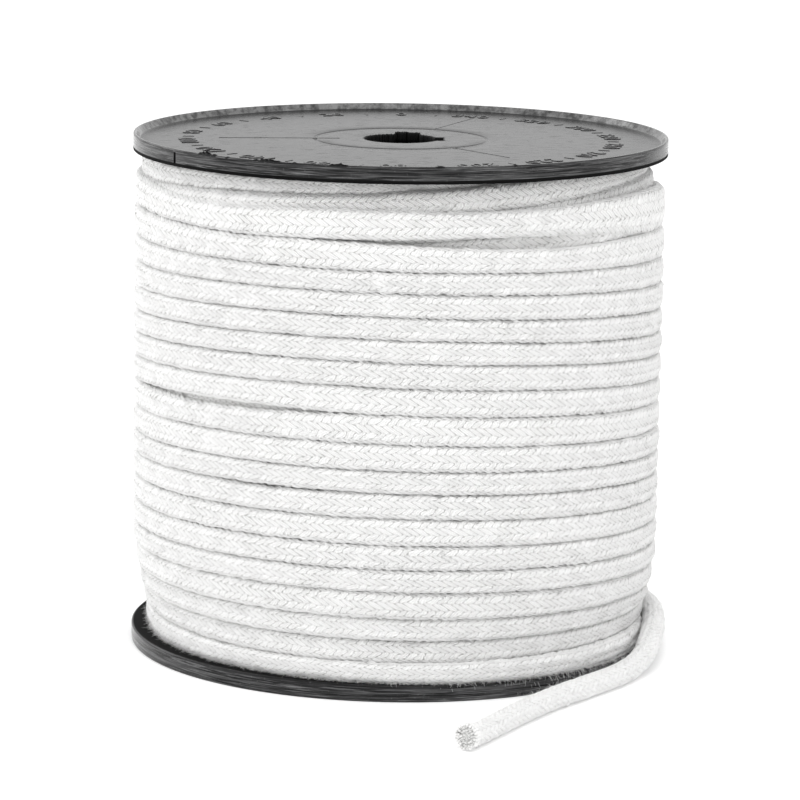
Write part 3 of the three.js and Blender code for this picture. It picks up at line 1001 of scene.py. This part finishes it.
def turned_noise(outline_place, around, across):
    """Noise drawn out round the axis; the scales are per metre round it and across the outline."""
    tree = outline_place.tree
    place = tree.nodes.new("ShaderNodeTexCoord")
    flatten = vector_node(tree, "MULTIPLY", place.outputs["Object"])
    flatten.inputs[1].default_value = (1.0, 1.0, 0.0)
    direction = vector_node(tree, "NORMALIZE", flatten.outputs["Vector"])
    ring = vector_node(tree, "SCALE", direction.outputs["Vector"])
    ring.inputs["Scale"].default_value = FLANGE_RADIUS * MM * around
    level = tree.nodes.new("ShaderNodeCombineXYZ")
    feed(level.inputs["Z"], outline_place * across)
    whole = vector_node(tree, "ADD", ring.outputs["Vector"])
    tree.links.new(level.outputs["Vector"], whole.inputs[1])
    return noise_at(tree, whole.outputs["Vector"], 1.0, 3.0, 0.6)


def black_plastic():
    material, tree, shader = new_material("reel_plastic_black", (0.010, 0.010, 0.0105), 0.3, specular=0.20)
    _, place = flat_place(tree)
    lip_start, lip_end, hole_start = run[LIP[0]], run[LIP[1]], len(OUTLINE)
    on_lip = ramp(place, lip_start - 0.1 * MM, lip_start + 0.1 * MM)
    on_lip = on_lip - ramp(place, lip_end - 0.3 * MM, lip_end)
    on_rim = ramp(place, run[4], run[7]) - ramp(place, lip_start, lip_start + 0.1 * MM)
    in_hole = ramp(place, run[hole_start], run[hole_start + 2])
    # painted shade: faces moved off the outline, in the slot and on the burrs, lose the wear colour and the
    # lip's grey, as the hole does
    hole_and_painted_shade = in_hole + ramp(place * -1.0, 1.0 * MM, 3.0 * MM)
    inner_side = 1.0 - ramp(place, run[3], run[5])
    streaks = ramp(turned_noise(place, 110.0, 5200.0), 0.48, 0.66)
    bands = ramp(turned_noise(place, 30.0, 1500.0), 0.44, 0.64)
    smears = ramp(turned_noise(place, 22.0, 260.0), 0.55, 0.68)
    scratches = ramp(noise(tree, 240.0, 6.0, 0.75, (1.0, 2.0, 1.0)), 0.50, 0.68)
    specks = ramp(noise(tree, 1500.0, 1.0, 0.5), 0.68, 0.76)
    lip_scuffs_and_reflection = ramp(noise(tree, 420.0, 5.0, 0.7), 0.36, 0.64)
    rubbed = streaks * 0.62 + bands * 0.30 + smears * streaks
    wear = (rubbed * (on_rim * 0.85 + 0.15) + specks * 0.3) * (1.0 - hole_and_painted_shade)
    wear = calc("MINIMUM", wear, 1.0)
    colour = blend_colours(wear, (0.002, 0.002, 0.0022), (0.14, 0.14, 0.142))
    # painted reflection: the lip is painted pale grey, patchy with scuffs, for the bright room that it
    # mirrors
    colour = blend_colours(on_lip * (lip_scuffs_and_reflection * 0.75 + 0.25), colour, (0.20, 0.20, 0.20))
    feed(shader.inputs["Base Color"], colour)
    dull = (scratches + wear) * 0.10 + 0.22 - (on_lip + on_rim) * 0.14 + (hole_and_painted_shade + inner_side) * 0.4
    feed(shader.inputs["Roughness"], dull)
    grooves = (streaks + bands) * (on_rim * -0.5)
    bump(shader, noise(tree, 180.0, 4.0, 0.6) * 0.6 + grooves, 0.00010, 0.5)
    return material


def matt_plastic(name, grey, roughness, specular, grain, dark, light):
    material, tree, shader = new_material(name, (grey,) * 3, roughness, specular)
    grain = noise(tree, *grain)
    feed(shader.inputs["Base Color"], blend_colours(grain, (dark,) * 3, (light,) * 3))
    bump(shader, grain, 0.0001, 0.5)
    return material


dress(black_plastic(), *flange_pieces, face_marks)
# painted shade: a near-black, matt copy of the plastic for the shaded inner sides and the rim's foot
dress(matt_plastic("reel_plastic_painted_shade", 0.002, 0.75, 0.06, (500.0, 5.0, 0.7), 0.001, 0.006), *flange_pieces)
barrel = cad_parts["barrel"]
barrel.data.materials.clear()
dress(matt_plastic("barrel_plastic", 0.006, 0.6, 0.3, (300.0, 4.0, 0.6), 0.004, 0.012), barrel)
print("plastic on", len(flange_pieces) + 2, "pieces")

# %% [markdown]
# ## The floor and the light
# The reel stands on a white table that glows faintly from below, in a white room: the usual way to take
# a pale product without hard shadows. The cord stays bright to its edges, and only the grooves are shaded.
# A soft light from above draws out the stitches, one from behind on the left makes the lip shine, and a weak
# one from the left lights the face.

# %% Floor
floor_points = np.array([(-3, -3, 0), (3, -3, 0), (3, 3, 0), (-3, 3, 0)], float)
floor = add_mesh("floor", floor_points, np.array([[0, 1, 2, 3]]))
floor_material, tree, shader = new_material("floor_white", (0.86, 0.86, 0.86), 0.85)
shader.inputs["Emission Color"].default_value = (1.0, 1.0, 1.0, 1.0)
shader.inputs["Emission Strength"].default_value = 0.2
dress(floor_material, floor)

# %% Light
REEL_MIDDLE = Vector((0, 0, 0.065))
world = bpy.data.worlds.new("white_room")
bpy.context.scene.world = world
world.use_nodes = True
world.node_tree.nodes["Background"].inputs["Color"].default_value = (1.0, 1.0, 1.0, 1.0)
world.node_tree.nodes["Background"].inputs["Strength"].default_value = 1.0


def soft_light(name, place, size, watts):
    data = bpy.data.lights.new(name, "AREA")
    data.shape = "RECTANGLE"
    data.size = data.size_y = size
    data.energy = watts
    light = put_in_scene(name, data)
    light.location = place
    light.rotation_mode = "QUATERNION"
    light.rotation_quaternion = (REEL_MIDDLE - Vector(place)).to_track_quat("-Z", "Y")


soft_light("light_above", (0.12, -0.50, 1.05), 0.7, 4.2)
soft_light("light_back_left", (-1.2, 0.8, 0.75), 0.8, 6.0)
soft_light("light_left", (-1.1, -0.25, 0.45), 0.8, 1.6)
bpy.context.scene.view_settings.view_transform = "Standard"
